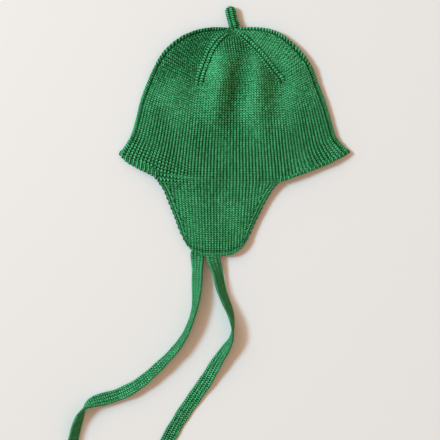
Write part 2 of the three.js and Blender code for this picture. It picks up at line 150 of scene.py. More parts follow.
FAR_TIE = np.array([
    [-37.2, -123.2, 0.0, 3], [-37.1, -128.0, 0.0, 22], [-37.0, -135.0, 0.0, 33],
    [-37.2, -145.0, 0.0, 39], [-37.6, -156.0, 0.0, 44], [-38.2, -167.0, 0.0, 57],
    [-39.9, -178.0, 0.0, 69], [-43.2, -189.0, 0.0, 73], [-48.0, -201.0, 0.0, 69],
    [-54.0, -211.0, 0.0, 65], [-61.0, -220.0, 0.0, 60], [-70.0, -229.5, 0.0, 56],
    [-80.5, -239.5, 0.0, 49], [-92.0, -249.5, 0.0, 41], [-104.5, -257.8, 0.0, 34],
    [-118.0, -263.8, 0.0, 29], [-130.5, -267.4, 0.0, 31], [-141.5, -270.5, 0.0, 48],
    [-149.0, -275.5, 0.0, 84], [-153.2, -283.0, 0.0, 112], [-156.6, -292.0, 0.0, 126],
    [-159.0, -301.0, 0.0, 131], [-161.0, -310.0, 0.0, 133], [-162.0, -316.0, 0.0, 134],
])

# distance along the stem and its radius there.
STEM = np.array([
    [0.0, 3.6], [3.8, 5.8], [6.3, 5.2], [10.8, 5.0], [15.8, 5.2],
    [19.8, 5.3], [22.2, 4.5], [23.8, 2.6], [24.4, 0.4],
])
STEM_ROUTE = np.array([
    [-0.4, 104.3, 0.6, 0], [-2.0, 110.0, 0.5, 0], [-3.6, 117.0, 0.3, 0], [-4.8, 124.0, 0.1, 0],
])

# x, y, lift and roll of the ends that are knitted into the flaps and into the crown.
NEAR_TIE_END = (-21.9, -122.6, 5.4, -5)
FAR_TIE_END = (-37.2, -119.6, 0.0, 2)
STEM_END = (0.2, 100.6, 0.9, 0)


class Layer(Enum):
    """The two layers of the flattened bonnet."""

    NEAR = "near"
    FAR = "far"


class Ends(Enum):
    """How the first and the last ring of a loft are closed."""

    RING = "ring"
    POLES = "poles"


# ------------------------------------------------------------------ curves and noise


def catmull(rows: Grid, place: Grid) -> Grid:
    """A smooth curve through table rows.

    Args:
        rows: the table, one row a step.
        place: where to read it, in rows.

    Returns:
        One row of values for each place.
    """
    place = np.atleast_1d(np.asarray(place, float))
    last = len(rows) - 1
    step = np.minimum(np.floor(np.maximum(place, 0)).astype(int), last - 1)
    t = np.clip(place - step, 0, 1)[:, None]
    a, b, c, d = (rows[np.clip(step + k, 0, last)] for k in (-1, 0, 1, 2))
    rest = 1 - t
    return (
        b * rest**2 * (1 + 2 * t)
        + (c - a) / 2 * t * rest**2
        + c * t**2 * (3 - 2 * t)
        - (d - b) / 2 * t**2 * rest
    )


def ramp(value: Grid, start: float, end: float) -> Grid:
    """A smooth step from 0 at start to 1 at end."""
    t = np.clip((value - start) / (end - start), 0, 1)
    return t * t * (3 - 2 * t)


def waves(x: Grid, y: Grid, length: float, seed: int) -> Grid:
    """Soft uneven waves over a plane, about -1 to 1.

    Args:
        x: first coordinate.
        y: second coordinate.
        length: the usual length of a wave.
        seed: picks the pattern.

    Returns:
        The height at each place.
    """
    rng = np.random.default_rng(seed)
    total = np.zeros(np.broadcast(x, y).shape)
    for _ in range(7):
        angle, phase = rng.uniform(0, 2 * math.pi, 2)
        turns = 2 * math.pi / (length * rng.uniform(0.7, 1.6))
        total = total + np.sin(turns * (x * math.cos(angle) + y * math.sin(angle)) + phase)
    return total / 3.2


def bell(value: Grid, centre: float, width: float) -> Grid:
    """A smooth hump, 1 at its centre."""
    return np.exp(-(((value - centre) / width) ** 2))


def rib(wale: Grid, sharpness: float = 0.6) -> Grid:
    """Height of a rib across its wales: 1 on a crest at whole numbers, 0 in the narrow trough between two."""
    return np.abs(np.cos(math.pi * wale)) ** sharpness


# ------------------------------------------------------------------ meshes from rings of points


@dataclass
class Knitting:
    """Rings of points of a knitted piece, with its stitches counted across and along.

    Attributes:
        rings: points, ring by ring.
        wale: number of the wale at each point, with one column more to close the rings.
        course: number of the course at each ring.
        depth: painted shade at each point, from 0 to 1, darkest deep in a trough.
        tone: how light the yarn is there, about -1 to 1, with a painted highlight on the ear flaps' lifted
            stitches.
    """

    rings: Grid
    wale: Grid
    course: Grid
    depth: Grid
    tone: Grid


def make_piece(name: str, knit: Knitting, ends: Ends) -> bpy.types.Object:
    """A closed mesh from rings of points.

    Args:
        name: of the new object.
        knit: its rings and stitch counts.
        ends: how the first and the last ring are closed.

    Returns:
        The object, at the origin.
    """
    rows, size = knit.rings.shape[:2]
    points = knit.rings.reshape(-1, 3)
    depth, tone = knit.depth.ravel(), knit.tone.ravel()
    joined = rows if ends is Ends.RING else rows - 1
    r, k = np.meshgrid(np.arange(joined), np.arange(size), indexing="ij")
    r, k = r.ravel(), k.ravel()
    after, beside = (r + 1) % rows, (k + 1) % size
    quads = np.stack([r * size + k, r * size + beside, after * size + beside, after * size + k], 1)
    corner_k = np.stack([k, k + 1, k + 1, k], 1)
    corner_r = np.stack([r, r, r + 1, r + 1], 1)
    fans, fan_k, fan_r = [], [], []
    if ends is Ends.POLES:
        for ring, row in ((0, -1), (rows - 1, rows)):
            pole = len(points)
            points = np.vstack([points, knit.rings[ring].mean(0)])
            depth, tone = np.append(depth, 0.5), np.append(tone, 0.0)
            k = np.arange(size)
            around = np.stack([ring * size + k, ring * size + (k + 1) % size, np.full(size, pole)], 1)
            flip = slice(None, None, -1) if ring == 0 else slice(None)
            fans.append(around[:, flip])
            fan_k.append(np.stack([k, k + 1, k + 0.5], 1)[:, flip])
            fan_r.append(np.stack([np.full(size, ring), np.full(size, ring), np.full(size, row)], 1)[:, flip])
    faces = [tuple(f) for f in quads.tolist()]
    loop_k, loop_r = corner_k.ravel().astype(float), corner_r.ravel().astype(float)
    if fans:
        faces += [tuple(f) for f in np.vstack(fans).tolist()]
        loop_k = np.concatenate([loop_k, np.vstack(fan_k).ravel()])
        loop_r = np.concatenate([loop_r, np.vstack(fan_r).ravel()])
    mesh = bpy.data.meshes.new(name)
    mesh.from_pydata((points * MM).tolist(), [], faces)
    course = np.interp(loop_r, np.arange(rows), knit.course)
    wales = np.broadcast_to(knit.wale, (rows, size + 1))
    wale = wales[np.clip(loop_r, 0, rows - 1).astype(int), loop_k.astype(int)]
    stitches = mesh.uv_layers.new(name="stitches")
    stitches.uv.foreach_set("vector", np.stack([wale, course], 1).ravel().astype(np.float32))
    bake = mesh.uv_layers.new(name="OFBake")
    across = 0.01 + 0.98 * loop_k / size
    along = 0.01 + 0.98 * (loop_r + 1) / (rows + 1)
    bake.uv.foreach_set("vector", np.stack([across, along], 1).ravel().astype(np.float32))
    # The depth attribute carries painted shade; the tone attribute carries the yarn's tone.
    for label, values in (("depth", depth), ("tone", tone)):
        mesh.attributes.new(label, "FLOAT", "POINT").data.foreach_set("value", values.astype(np.float32))
    piece = bpy.data.objects.new(name, mesh)
    bpy.context.scene.collection.objects.link(piece)
    if signed_volume(mesh) < 0:
        mesh.flip_normals()
    mesh.polygons.foreach_set("use_smooth", [True] * len(mesh.polygons))
    mesh.update()
    return piece


def signed_volume(mesh: bpy.types.Mesh) -> float:
    """Volume inside the mesh, below zero if its faces point inwards."""
    mesh.calc_loop_triangles()
    points = np.zeros(len(mesh.vertices) * 3, np.float32)
    corners = np.zeros(len(mesh.loop_triangles) * 3, np.int32)
    mesh.vertices.foreach_get("co", points)
    mesh.loop_triangles.foreach_get("vertices", corners)
    a, b, c = points.reshape(-1, 3).astype(float)[corners.reshape(-1, 3)].transpose(1, 0, 2)
    return float((a * np.cross(b, c)).sum() / 6)


def ring_normals(rings: Grid, sample_ring: int, sample_point: int) -> Grid:
    """Unit normals of a surface given as rings of points.

    Args:
        rings: the points, ring by ring, each ring closed.
        sample_ring: ring of a point whose normal is known to point up.
        sample_point: its place on that ring.

    Returns:
        One normal for each point.
    """
    around = np.roll(rings, -1, 1) - np.roll(rings, 1, 1)
    along = np.gradient(rings, axis=0)
    normals = np.cross(around, along)
    normals /= np.maximum(np.linalg.norm(normals, axis=2, keepdims=True), 1e-9)
    if normals[sample_ring, sample_point, 2] < 0:
        normals = -normals
    return normals


# ------------------------------------------------------------------ finishes


@dataclass(frozen=True)
class KnitFinish:
    """Soft wool-like yarn, with stitches that follow the piece's own count of wales and courses.

    Attributes:
        name: of the material.
        slot: a slot name, not used.
        shadow: colour deep between the ribs.
        body: colour of the yarn.
        light: colour of its lightest strands and of painted highlights on the stitch legs.
        stitch_slant: how far a stitch's legs lean across a wale, in courses.
        leg_painted_shading: painted highlight and shade that alternate along the stitches' legs.
        crest_tone: place on the colour band of yarn on a rib's crest.
        trough_painted_shade: painted shade, how much further down the band the depth attribute takes troughs
            and other shaded places.
        stitch_tone: weight of the tone of single stitches.
        heather: weight of the flecks in the yarn.
        patch: weight of larger faded patches.
        bump_height: of legs and fuzz, in metres.
    """

    name: str
    slot: str
    shadow: tuple = (0.0008, 0.024, 0.006)
    body: tuple = (0.0112, 0.186, 0.057)
    light: tuple = (0.122, 0.630, 0.285)
    stitch_slant: float = 1.35
    leg_painted_shading: float = 0.80
    crest_tone: float = 0.555
    trough_painted_shade: float = 0.62
    stitch_tone: float = 0.05
    heather: float = 1.35
    patch: float = 0.22
    bump_height: float = 0.0004

    def material(self) -> bpy.types.Material:
        """The material, made once and shared by every piece of this finish."""
        made = bpy.data.materials.get(self.name)
        return made or self._build()

    def _build(self) -> bpy.types.Material:
        """Builds the node tree.

        Returns:
            The new material.
        """
        material = bpy.data.materials.new(self.name)
        material.use_nodes = True
        tree = material.node_tree
        nodes, links = tree.nodes, tree.links
        shader = nodes["Principled BSDF"]
        shader.inputs["Roughness"].default_value = 0.82
        shader.inputs["Specular IOR Level"].default_value = 0.14
        shader.inputs["Sheen Weight"].default_value = 0.06
        shader.inputs["Sheen Roughness"].default_value = 0.45
        shader.inputs["Sheen Tint"].default_value = (0.55, 0.95, 0.68, 1)

        def maths(operation: str, a: object, b: object = 0.0, c: object = 0.0) -> bpy.types.NodeSocket:
            """One Math node of up to three inputs, each a number or a socket."""
            node = nodes.new("ShaderNodeMath")
            node.operation = operation
            for socket, value in zip(node.inputs, (a, b, c)):
                if isinstance(value, (int, float)):
                    socket.default_value = value
                else:
                    links.new(value, socket)
            return node.outputs[0]

        def noise(scale: float, detail: float, coordinates: bpy.types.NodeSocket) -> bpy.types.NodeSocket:
            """One Noise node on the piece's own coordinates."""
            node = nodes.new("ShaderNodeTexNoise")
            node.inputs["Scale"].default_value = scale
            node.inputs["Detail"].default_value = detail
            links.new(coordinates, node.inputs["Vector"])
            return node.outputs["Fac"]

        def attribute(name: str) -> bpy.types.NodeSocket:
            """The value of a vertex attribute."""
            node = nodes.new("ShaderNodeAttribute")
            node.attribute_name = name
            return node.outputs["Fac"]

        stitches = nodes.new("ShaderNodeUVMap")
        stitches.uv_map = "stitches"
        split = nodes.new("ShaderNodeSeparateXYZ")
        links.new(stitches.outputs["UV"], split.inputs[0])
        place = nodes.new("ShaderNodeTexCoord").outputs["Object"]

        off_crest = maths("PINGPONG", split.outputs["X"], 0.5)
        leg_phase = maths("MULTIPLY_ADD", off_crest, self.stitch_slant, split.outputs["Y"])
        leg = maths("SINE", maths("MULTIPLY", leg_phase, 2 * math.pi))
        heather = noise(700, 2.5, place)
        patches = noise(42, 1.5, place)
        fuzz = noise(2600, 3.0, place)

        # Painted shade: the depth attribute moves the colour down the band in troughs, grooves, dents and on
        # the left panel.
        factor = maths("MULTIPLY_ADD", attribute("depth"), -self.trough_painted_shade, self.crest_tone)
        # Painted highlight and shade alternating along the stitches' legs.
        factor = maths("MULTIPLY_ADD", leg, self.leg_painted_shading / 2, factor)
        factor = maths("MULTIPLY_ADD", attribute("tone"), self.stitch_tone, factor)
        factor = maths("ADD", factor, maths("MULTIPLY_ADD", heather, self.heather, -self.heather / 2))
        factor = maths("ADD", factor, maths("MULTIPLY_ADD", patches, self.patch, -self.patch / 2))
        colours = nodes.new("ShaderNodeValToRGB")
        band = colours.color_ramp
        band.elements[0].color = (*self.shadow, 1)
        band.elements[1].color = (*self.light, 1)
        band.elements.new(0.5).color = (*self.body, 1)
        links.new(factor, colours.inputs["Fac"])
        links.new(colours.outputs["Color"], shader.inputs["Base Color"])

        height = maths("MULTIPLY_ADD", fuzz, 0.45, maths("MULTIPLY", leg, 0.5))
        bump = nodes.new("ShaderNodeBump")
        bump.inputs["Strength"].default_value = 0.8
        bump.inputs["Distance"].default_value = self.bump_height
        links.new(height, bump.inputs["Height"])
        links.new(bump.outputs["Normal"], shader.inputs["Normal"])
        return material


RIBBED = KnitFinish("ribbed_yarn", "ribbed_knit")
EDGE = KnitFinish("edge_yarn", "edge_knit", stitch_slant=0.9, leg_painted_shading=0.7)
TAPE = KnitFinish("tie_yarn", "tie_knit", leg_painted_shading=0.95)


def dress(piece: bpy.types.Object, finish: KnitFinish, *nodes: str) -> bpy.types.Object:
    """Gives a piece its finish, its place in the frame and the CAD nodes that it stands for.

    Args:
        piece: the finished mesh.
        finish: its knit.
        nodes: CAD nodes that it replaces.

    Returns:
        The same piece.
    """
    piece.data.materials.append(finish.material())
    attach(piece, "root")
    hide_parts(*nodes)
    LOG.info("%s: %d faces", piece.name, len(piece.data.polygons))
    return piece


# ------------------------------------------------------------------ the flattened bonnet's surfaces


@dataclass
class Wales:
    """The ribs across one layer, numbered from the left fold to the right one.

    A wide rib runs along each fold. The others are even up to where the decrease ridges start. Above it they
    keep their width and the ridges cut them off.

    Attributes:
        left: ribs of the left panel.
        front: ribs of the panel between the decrease lines.
        right: ribs of the right panel.
        fold_trough: from a fold to the trough beside its wide rib.
        fold_wale: rib number on the left fold.
        fan_ribs: the fewest ribs that the front keeps under the stem.
        near_samples: mesh columns to a rib on the upper layer.
        far_samples: the same on the lower layer.
    """

    left: int = 19
    front: int = 31
    right: int = 15
    fold_trough: float = 6.2
    fold_wale: float = -0.256
    fan_ribs: int = 10
    near_samples: int = 8
    far_samples: int = 3

    @property
    def total(self) -> int:
        """Ribs from fold to fold."""
        return self.left + self.front + self.right

    def samples(self, layer: Layer) -> Grid:
        """Marks of the mesh's columns across one layer, folds included."""
        per_wale = self.near_samples if layer is Layer.NEAR else self.far_samples
        fold = np.linspace(self.fold_wale, 0.5, per_wale + 2)
        middle = np.arange(0.5, self.total - 0.5 + 1e-6, 1 / per_wale)
        return np.concatenate([fold[:-1], middle, self.total - fold[-2::-1]])

    def columns(self, marks: Grid, widths: Grid) -> Grid:
        """Panel columns, 0 to 3, of the mesh's columns.

        Args:
            marks: the mesh's columns, numbered as the ribs are on the brim.
            widths: widths of the three panels, one row a course.

        Returns:
            Panel columns, one row a course.
        """
        left = from_arc(self._walked(marks, widths[:, 0], self.left)[0]) / widths[:, 0:1]
        right = from_arc(self._walked(self.total - marks, widths[:, 2], self.right)[0]) / widths[:, 2:3]
        front = 1 + (marks - self.left) / self.front + 0 * left
        side = np.where(marks < self.left, np.clip(left, 0, 1), 3 - np.clip(right, 0, 1))
        return np.where((marks < self.left) | (marks > self.left + self.front), side, front)

    def numbers(self, marks: Grid, widths: Grid) -> Grid:
        """Rib numbers at the mesh's columns: the marks themselves on the brim, and even ribs cut off by the
        decrease lines above it.

        Args:
            marks: the mesh's columns, numbered as the ribs are on the brim.
            widths: widths of the three panels, one row a course.

        Returns:
            Rib numbers, one row a course.
        """
        start = panel_widths(np.array([RIDGE_START]))[0]
        middle = self.left + self.front / 2
        narrow = np.maximum(np.minimum(1, widths[:, 1:2] / start[1]), self.fan_ribs / self.front)
        front = middle + (marks - middle) * narrow
        left = self._number(marks, widths[:, 0], self.left, start[0])
        right = self._number(self.total - marks, widths[:, 2], self.right, start[2])
        side = np.where(marks < self.left, left, self.total - right)
        return np.where((marks < self.left) | (marks > self.left + self.front), side, front)

    def _walked(self, marks: Grid, width: Grid, count: int) -> tuple:
        """Length walked over a side panel from its fold, and the wide rib's share of it."""
        arc = (width + FOLD_RADIUS * (math.pi / 2 - 1))[:, None]
        edge = np.minimum(self.fold_trough, 0.55 * arc)
        rolled = edge * (marks - self.fold_wale) / (0.5 - self.fold_wale)
        share = (marks - 0.5) / (count - 0.5)
        return np.where(marks < 0.5, rolled, edge + (arc - edge) * share), edge

    def _number(self, marks: Grid, width: Grid, count: int, start_width: float) -> Grid:
        """Rib numbers of a side panel, counted from its fold."""
        walked, edge = self._walked(marks, width, count)
        spare = FOLD_RADIUS * (math.pi / 2 - 1)
        pitch = (np.maximum(width, start_width)[:, None] + spare - self.fold_trough) / (count - 0.5)
        return np.where(marks < 0.5, marks, 0.5 + (walked - edge) / pitch)


def from_arc(arc: Grid) -> Grid:
    """Distance on the table from a fold's outline for a length walked over its round."""
    quarter = FOLD_RADIUS * math.pi / 2
    turn = np.clip(arc / FOLD_RADIUS, 0, math.pi / 2)
    return np.where(arc < quarter, FOLD_RADIUS * (1 - np.cos(turn)), arc - quarter + FOLD_RADIUS)


def panel_widths(course: Grid) -> Grid:
    """Widths of the three panels, one row a course."""
    corners = catmull(COURSES, course)[:, 2:].reshape(-1, 4, 2)
    return np.linalg.norm(np.diff(corners, axis=1), axis=2)


def rounded(distance: Grid, radius: float) -> Grid:
    """Rise of a round edge, 0 at the edge and 1 past its radius."""
    return np.sqrt(np.maximum(1 - (1 - np.clip(distance, 0, radius) / radius) ** 2, 0))


def fabric(course: Grid, column: Grid, layer: Layer, inner: bool = False) -> Grid:
    """Points of the bonnet's smooth wall.

    Args:
        course: one course a row.
        column: panel columns, one row a course.
        layer: the upper or the lower layer.
        inner: whether it is the hollow's wall.

    Returns:
        Points, one row a course.
    """
    values = catmull(COURSES, course)
    corners = values[:, 2:].reshape(-1, 4, 2)
    widths = np.linalg.norm(np.diff(corners, axis=1), axis=2)
    row = np.arange(len(values))[:, None]
    panel = np.clip(np.floor(column), 0, 2).astype(int)
    share = column - panel
    place = corners[row, panel] + (corners[row, panel + 1] - corners[row, panel]) * share[..., None]
    base = COURSES[0, 2:].reshape(4, 2)
    hem = base[panel] + (base[panel + 1] - base[panel]) * share[..., None]
    fade = np.maximum(1 - course, 0)[:, None] ** 2
    x = place[..., 0]
    y = place[..., 1] + (np.interp(hem[..., 0], HEM[:, 0], HEM[:, 1]) - hem[..., 1]) * fade
    before = np.concatenate([np.zeros((len(widths), 1)), np.cumsum(widths, 1)], 1)
    walked = before[row, panel] + share * widths[row, panel]
    distance = np.minimum(walked, before[:, 3:] - walked)
    underlift = np.maximum(values[:, 1:2], 0)
    middle = underlift + FOLD_HEIGHT / 2
    turn = rounded(distance - WALL, SLIT_RADIUS) if inner else rounded(distance, FOLD_RADIUS)
    skin = WALL if inner else 0.0
    risen = 1 - np.exp(-distance / PUFF_REACH)
    if layer is Layer.NEAR:
        face = underlift + FOLD_HEIGHT + risen * (values[:, 0:1] + dents(x, y)) - skin
        off_line = np.minimum(np.abs(walked - before[:, 1:2]), np.abs(walked - before[:, 2:3]))
        held = (ramp(course, *PULL_BEGINS) * (1 - ramp(course, *PULL_ENDS)))[:, None]
        face = face - LINE_PULL * held * bell(off_line, 0, LINE_PULL_REACH)
    else:
        face = underlift + skin + 0 * x
    return np.stack([x, y, middle + (face - middle) * turn], -1)


def dents(x: Grid, y: Grid) -> Grid:
    """Height of the soft humps and dents of the upper layer."""
    total = np.zeros_like(x)
    for dent_x, dent_y, half_width, half_length, lean, rise in DENTS:
        across = (x - dent_x - lean * (y - dent_y)) / half_width
        along = (y - dent_y) / half_length
        total = total + DENT_GAIN * rise * np.exp(-(across**2 + along**2) / 2)
    return total


def course_count(course: Grid) -> Grid:
    """Knitted courses from the hem up to a course of the table."""
    return np.interp(course, COUNTED_AT, KNITTED_COURSES)


def stitch_rows(start: float, end: float) -> Grid:
    """Courses of the table for mesh rows, two to each knitted course, between two courses."""
    first, last = course_count(np.array([start, end]))
    halves = np.arange(math.ceil(first * 2) + 1, math.floor(last * 2)) / 2
    support = 0.06
    counts = np.concatenate([[first, first + support], halves, [last - support, last]])
    return np.interp(counts, KNITTED_COURSES, COUNTED_AT)


@dataclass
class BodyKnit:
    """The ribbed wall that runs round both layers, between two courses.

    Attributes:
        wales: the ribs.
        brim_rib: depth of the ribs on the brim.
        crown_rib: depth on the crown.
        fan_rib: depth where the front is gathered under the stem.
        fold_rib: depth of the trough beside each fold.
        stitch: height of single stitches.
        loose: unevenness of single stitches.
        uneven: unevenness of the ribs' depth, as a share.
        side_loss: how much shallower the side panels' ribs are on the crown, as a share.
        left_panel_painted_shade: painted shade laid over the crown's left panel.
        dent_painted_shade: painted shade at the bottom of a deep dent.
        deep_dent: how deep such a dent is.
    """

    wales: Wales = field(default_factory=Wales)
    brim_rib: float = 1.45
    crown_rib: float = 0.5
    fan_rib: float = 1.7
    fold_rib: float = 1.7
    stitch: float = 0.15
    loose: float = 0.13
    uneven: float = 0.32
    side_loss: float = 0.3
    left_panel_painted_shade: float = 0.3
    dent_painted_shade: float = 0.17
    deep_dent: float = 5.0

    def outer(self, course: Grid) -> Knitting:
        """Rings of the outside.

        Args:
            course: one course a ring.

        Returns:
            The outside's rings, over the near layer to the right fold and back under it.
        """
        near, far = (self.wales.samples(layer) for layer in (Layer.NEAR, Layer.FAR))
        widths = panel_widths(course)
        top = fabric(course, self.wales.columns(near, widths), Layer.NEAR)
        under = fabric(course, self.wales.columns(far, widths), Layer.FAR)[:, -2:0:-1]
        rings = np.concatenate([top, under], 1)
        marks = np.concatenate([near, far[-2:0:-1]])
        above, below = self.wales.numbers(near, widths), self.wales.numbers(far, widths)
        wale = np.concatenate([above, below[:, -2:0:-1]], 1)
        is_far = np.arange(len(marks)) >= len(near)
        relief, depth, tone = self._relief(course, rings, marks, wale, is_far)
        normals = ring_normals(rings, len(rings) // 2, len(near) // 2)
        rings = rings + normals * relief[..., None]
        rings[..., 2] = np.maximum(rings[..., 2], TABLE_CLEARANCE)
        unrolled = np.concatenate([above, 2 * self.wales.total - below[:, -2::-1]], 1)
        return Knitting(rings, unrolled, course_count(course), depth, tone)

    def _relief(self, course: Grid, rings: Grid, marks: Grid, wale: Grid, is_far: Grid) -> tuple:
        """Relief of the ribs and stitches.

        Args:
            course: one course a ring.
            rings: the smooth points.
            marks: the columns' marks.
            wale: rib number of each point.
            is_far: whether it is on the lower layer.

        Returns:
            Height over the smooth wall, painted shade (darkest in the troughs, on the left panel and in deep
            dents) and tone of the yarn.
        """
        x, y = rings[..., 0], rings[..., 1]
        count = course_count(course)[:, None]
        c = course[:, None]
        crest = rib(wale)
        from_fold = np.minimum(marks, self.wales.total - marks)[None, :]
        at_left = (marks < self.wales.left)[None, :]
        in_front = ((marks >= self.wales.left) & (marks <= self.wales.left + self.wales.front))[None, :]
        depth = self.crown_rib + (self.brim_rib - self.crown_rib) * (1 - ramp(c, 1.7, 4.2))
        depth = depth * np.where(in_front, 1.0, 1 - self.side_loss * ramp(c, 3.0, 5.0))
        fan = ramp(c, 7.4, 8.8) * in_front
        depth = depth + (self.fan_rib - depth) * fan
        depth = depth * (1 + self.uneven * waves(x, y * 0.35, 23, SEED))
        depth = np.where(from_fold < 1.0, self.fold_rib, depth)
        depth = depth * (1 - 0.7 * ramp(c, 10.1, 10.6))
        rng = np.random.default_rng(SEED)
        yarn = rng.normal(0, 1, (2, self.wales.total + 3, 110))
        stitch = yarn[
            is_far[None, :].astype(int),
            np.clip(np.round(wale), 0, self.wales.total + 2).astype(int),
            np.floor(count + 0.25).astype(int),
        ]
        beat = np.cos(2 * math.pi * count) * (0.35 + 0.65 * crest)
        relief = depth * (crest - 1) + self.stitch * beat + self.loose * stitch * crest - 0.1
        # Painted shade in the troughs, deeper where the ribs are deeper.
        shade = np.clip((1 - crest) * np.clip(depth / PAINTED_SHADE_FULL_DEPTH, 0, PAINTED_SHADE_FULL_DEPTH), 0, 1)
        # Painted shade over the crown's left panel.
        shade = shade + self.left_panel_painted_shade * at_left * ramp(c, 3.5, 6.0)
        # Painted shade at the bottom of the deep dents.
        shade = shade + self.dent_painted_shade * np.clip(-dents(x, y) / self.deep_dent, 0, 1)
        return relief, shade, np.clip(stitch, -STITCH_TONES, STITCH_TONES) + 0 * shade

    def inner(self, course: Grid) -> Grid:
        """Rings of the hollow, with as many points as the outside's."""
        near, far = (self.wales.samples(layer) for layer in (Layer.NEAR, Layer.FAR))
        widths = panel_widths(course)
        rings = []
        for wale, layer in ((near, Layer.NEAR), (far, Layer.FAR)):
            column = self._inset(self.wales.columns(wale, widths), widths)
            rings.append(fabric(course, column, layer, inner=True))
        return np.concatenate([rings[0], rings[1][:, -2:0:-1]], 1)

    def _inset(self, column: Grid, widths: Grid) -> Grid:
        """Columns moved in from the folds by the wall's thickness."""
        before = np.concatenate([np.zeros((len(widths), 1)), np.cumsum(widths, 1)], 1)
        total = before[:, 3:]
        walked = np.stack([np.interp(column[i], [0, 1, 2, 3], before[i]) for i in range(len(widths))])
        walked = WALL + walked * (1 - 2 * WALL / total)
        return np.stack([np.interp(walked[i], before[i], [0, 1, 2, 3]) for i in range(len(widths))])


def with_hollow(outer: Knitting, inner: Grid, first: bool) -> Knitting:
    """Joins the hollow's rings to the outside's.

    Args:
        outer: the outside's rings.
        inner: the hollow's rings, in order from the outside's joined end.
        first: whether they come before the outside's rings.

    Returns:
        All the rings.
    """
    extra = len(inner)
    order = (lambda a, b: [a, b]) if first else (lambda a, b: [b, a])
    inner = inner[::-1] if first else inner
    edge = outer.course[0 if first else -1]
    counts = edge + np.arange(1, extra + 1) * 2.0
    counts = 2 * edge - counts[::-1] if first else counts
    shape = inner.shape[:2]
    return Knitting(
        np.concatenate(order(inner, outer.rings)),
        np.concatenate(order(np.repeat(outer.wale[:1] if first else outer.wale[-1:], extra, 0), outer.wale)),
        np.concatenate(order(counts, outer.course)),
        # The hollow's walls get a middling painted shade.
        np.concatenate(order(np.full(shape, 0.35), outer.depth)),
        np.concatenate(order(np.zeros(shape), outer.tone)),
    )


@dataclass
class Body:
    """Crown and brim, one continuous knit in two pieces."""

    knit: BodyKnit = field(default_factory=BodyKnit)
    crown_top: float = 10.6
    hollow_top: float = 9.1

    def crown(self) -> bpy.types.Object:
        """The round top of the bonnet."""
        start = CROWN_START
        outer = self.knit.outer(stitch_rows(start, self.crown_top))
        hollow = self.knit.inner(np.linspace(start, self.hollow_top, 8))
        piece = make_piece("knit_crown", with_hollow(outer, hollow, first=True), Ends.POLES)
        return dress(piece, RIBBED, "crown")

    def brim(self) -> bpy.types.Object:
        """The flared, deeply ribbed part below the crown."""
        start, end = HEM_COURSE, CROWN_START
        outer = self.knit.outer(stitch_rows(start, end))
        hollow = self.knit.inner(np.linspace(end, start, 7))
        piece = make_piece("knit_brim", with_hollow(outer, hollow, first=False), Ends.RING)
        return dress(piece, RIBBED, "brim")


# ------------------------------------------------------------------ hems and ridges


@dataclass
class Hem:
    """The cast-off edge round one side fold: a row of small chained stitches.

    Attributes:
        is_left: which side fold.
        stitch_length: of one chained stitch.
        swell: how much fatter a stitch is in its middle, as a share.
        around: points round a section.
        squareness: power that squares the section.
    """

    is_left: bool
    stitch_length: float = 4.1
    swell: float = 0.24
    around: int = 16
    squareness: float = 0.8

    def build(self) -> bpy.types.Object:
        """The hem as one closed piece."""
        widths = panel_widths(np.array([0.0]))[0]
        width = widths[0] if self.is_left else widths[2]
        end = FLAP_LEFT if self.is_left else 3 - FLAP_RIGHT
        near_end = min(end, 1) * width + max(end - 1, 0) * widths[1]
        rings, arcs, walked = [], [], 0.0
        for layer, step in ((Layer.NEAR, 0.55), (Layer.FAR, 0.9)):
            reach = near_end + FOLD_RADIUS * (math.pi / 2 - 1)
            arc = np.linspace(0, reach, int(reach / step))
            sections = [self._section(from_arc(np.array([a]))[0], widths, layer) for a in arc]
            if layer is Layer.NEAR:
                sections, arc = sections[::-1], arc[::-1]
            else:
                sections, arc = sections[1:], -arc[1:]
            rings += sections
            arcs += list(arc)
        rings, arcs = np.array(rings), np.array(arcs)
        centre = rings.mean(1, keepdims=True)
        phase = arcs / self.stitch_length
        swell = 1 + self.swell * np.cos(2 * math.pi * phase) + 0.05 * waves(arcs, 0 * arcs, 9, SEED + 3)
        taper = np.minimum(1, 0.35 + np.minimum(np.arange(len(arcs)), np.arange(len(arcs))[::-1]) / 3)
        rings = centre + (rings - centre) * (swell * taper)[:, None, None]
        rings[..., 2] = np.maximum(rings[..., 2], TABLE_CLEARANCE)
        # Painted shade between the chained stitches.
        depth = np.tile((0.5 - 0.5 * np.cos(2 * math.pi * phase))[:, None] * 0.55, (1, self.around))
        tone = np.tile(waves(arcs, 0 * arcs, 5, SEED + 5)[:, None], (1, self.around))
        wale = np.linspace(0, 3, self.around + 1)
        knit = Knitting(rings, wale, phase * 2, depth, tone)
        name = "left_hem" if self.is_left else "right_hem"
        return dress(make_piece(f"cast_off_{name}", knit, Ends.POLES), EDGE, name)

    def _section(self, distance: float, widths: Grid, layer: Layer) -> Grid:
        """One round section of the hem.

        Args:
            distance: from the fold, along the hem.
            widths: of the three panels.
            layer: the upper or the lower one.

        Returns:
            Points round the section.
        """
        side = widths[0] if self.is_left else widths[2]
        past = max(distance - side, 0) / widths[1]
        from_fold = min(distance / side, 1) + past
        column = from_fold if self.is_left else 3 - from_fold
        courses = np.array([0.0, HEM_COURSE + 0.03])
        outer = fabric(courses, np.full((2, 1), column), layer)[:, 0]
        inward = 1 if self.is_left else -1
        shift = WALL * (1 - min(distance / 8, 1)) / side
        inside = fabric(courses, np.full((2, 1), column + inward * shift), layer, inner=True)[:, 0]
        low, high = (outer[0] + inside[0]) / 2, (outer[1] + inside[1]) / 2
        centre, tall = (low + high) / 2, (high - low) / 2
        thick = (outer.mean(0) - inside.mean(0)) / 2
        turn = np.linspace(0, 2 * math.pi, self.around, endpoint=False)
        cos, sin = np.cos(turn), np.sin(turn)
        tall_share = np.sign(cos) * np.abs(cos) ** self.squareness
        thick_share = np.sign(sin) * np.abs(sin) ** self.squareness
        return centre + tall_share[:, None] * tall * 1.02 + thick_share[:, None] * thick * 1.12


